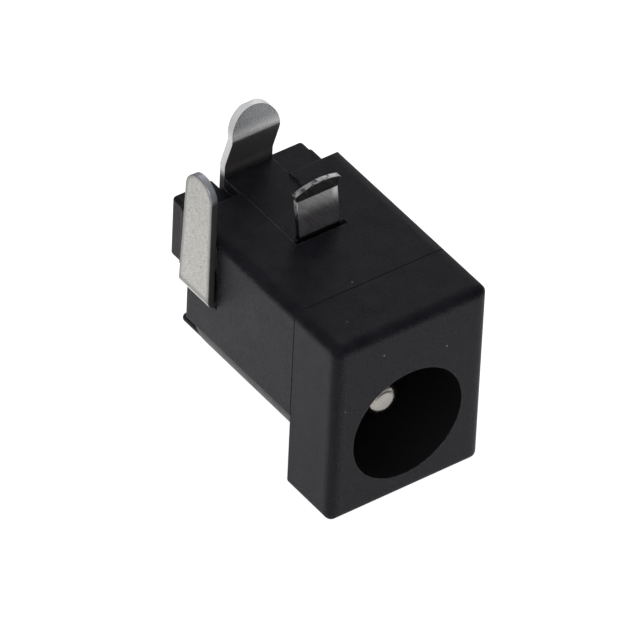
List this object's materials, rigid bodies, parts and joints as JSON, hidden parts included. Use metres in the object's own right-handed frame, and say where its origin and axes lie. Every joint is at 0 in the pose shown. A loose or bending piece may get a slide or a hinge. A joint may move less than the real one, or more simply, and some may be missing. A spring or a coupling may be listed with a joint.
{
  "type": "dc power jack",
  "caption": "Black right-angle DC barrel jack: round socket with a centre pin in a square front block, flat solder legs for a circuit board.",
  "frame": {"origin": "the point where the bore's axis meets the front face", "axes": "-Y out of the socket's mouth, towards the plug. +Z square to the face that rests on the circuit board, the way the solder legs point. +X is the width, and the side leg stands on the -X side"},
  "size_m": [0.0094, 0.0147, 0.0149],
  "materials": {
    "housing": "moulded, fine matte grain",
    "pin": "nickel plated, turned",
    "terminal": "tin plated, satin",
    "spring": "tin plated, rolled sheet"
  },
  "bodies": {
    "root": {"housing": "housing", "centre_pin": "pin", "rear_terminal": "terminal", "spring_contact": "spring", "switch_contact": "terminal"}
  },
  "joints": []
}
